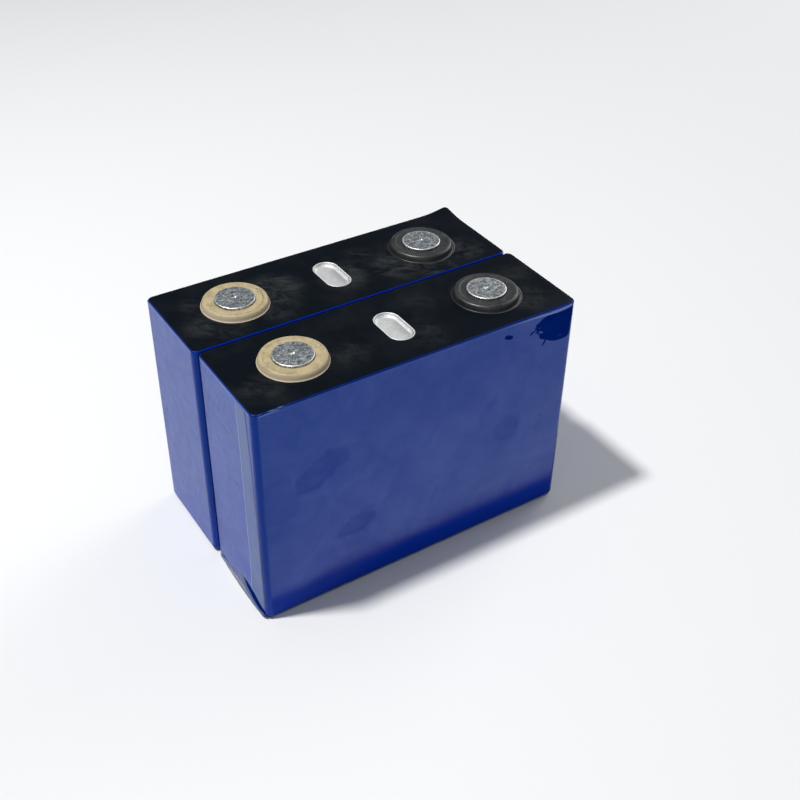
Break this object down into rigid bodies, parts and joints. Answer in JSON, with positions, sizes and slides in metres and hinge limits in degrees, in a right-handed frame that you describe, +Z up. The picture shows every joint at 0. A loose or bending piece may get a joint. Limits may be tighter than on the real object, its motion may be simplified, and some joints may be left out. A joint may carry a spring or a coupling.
{
  "type": "prismatic battery cell",
  "caption": "Film-wrapped prismatic lithium cells standing side by side, each with round weldable terminals in plastic collars and an oblong vent, full of wound electrode rolls.",
  "frame": {"origin": "on the ground, at the middle of the pair's outline", "axes": "+X along the wide faces from positive to negative, +Y from the front cell to the rear cell, +Z up"},
  "size_m": [0.1614, 0.1004, 0.1178],
  "materials": {
    "blue_film": "glossy wrap film with soft dents and haze",
    "black_sheet": "satin, smudged with dust",
    "clear_sheet": "milky, thin",
    "can_aluminium": "drawn, satin",
    "vent_aluminium": "stamped, satin",
    "pad_aluminium": "turned, mottled and scratched",
    "foil_aluminium": "bright foil and plate",
    "copper": "bright copper foil and plate",
    "tan_plastic": "moulded, satin",
    "black_plastic": "moulded, satin",
    "seal_rubber": "smooth",
    "white_film": "thin milky film",
    "white_plastic": "moulded, matt",
    "electrode": "wound coated foil"
  },
  "bodies": {
    "front_cell": {"front_wrap_film": "blue_film", "front_bottom_sheet": "clear_sheet", "front_top_sheet": "black_sheet", "front_can": "can_aluminium", "front_lid": "can_aluminium", "front_vent_disc": "vent_aluminium", "front_fill_plug": "seal_rubber", "front_fill_cap": "vent_aluminium", "front_core_bag": "white_film", "front_bottom_spacer": "white_plastic", "front_positive_pad": "pad_aluminium", "front_positive_pole": "foil_aluminium", "front_positive_upper_insulator": "tan_plastic", "front_positive_seal_ring": "seal_rubber", "front_positive_lower_insulator": "black_plastic", "front_positive_collector": "foil_aluminium", "front_positive_foil_tab_1": "foil_aluminium", "front_positive_foil_tab_2": "foil_aluminium", "front_negative_pad": "pad_aluminium", "front_negative_pole": "copper", "front_negative_upper_insulator": "black_plastic", "front_negative_seal_ring": "seal_rubber", "front_negative_lower_insulator": "black_plastic", "front_negative_collector": "copper", "front_negative_foil_tab_1": "copper", "front_negative_foil_tab_2": "copper", "front_jelly_roll_1": "electrode", "front_jelly_roll_2": "electrode"},
    "rear_cell": {"rear_wrap_film": "blue_film", "rear_bottom_sheet": "clear_sheet", "rear_top_sheet": "black_sheet", "rear_can": "can_aluminium", "rear_lid": "can_aluminium", "rear_vent_disc": "vent_aluminium", "rear_fill_plug": "seal_rubber", "rear_fill_cap": "vent_aluminium", "rear_core_bag": "white_film", "rear_bottom_spacer": "white_plastic", "rear_positive_pad": "pad_aluminium", "rear_positive_pole": "foil_aluminium", "rear_positive_upper_insulator": "tan_plastic", "rear_positive_seal_ring": "seal_rubber", "rear_positive_lower_insulator": "black_plastic", "rear_positive_collector": "foil_aluminium", "rear_positive_foil_tab_1": "foil_aluminium", "rear_positive_foil_tab_2": "foil_aluminium", "rear_negative_pad": "pad_aluminium", "rear_negative_pole": "copper", "rear_negative_upper_insulator": "black_plastic", "rear_negative_seal_ring": "seal_rubber", "rear_negative_lower_insulator": "black_plastic", "rear_negative_collector": "copper", "rear_negative_foil_tab_1": "copper", "rear_negative_foil_tab_2": "copper", "rear_jelly_roll_1": "electrode", "rear_jelly_roll_2": "electrode"}
  },
  "joints": [
    {"name": "rear_cell_slide", "type": "slide", "parent": "front_cell", "child": "rear_cell", "axis": [0, 1, 0], "range_m": [0, 0.06]}
  ]
}
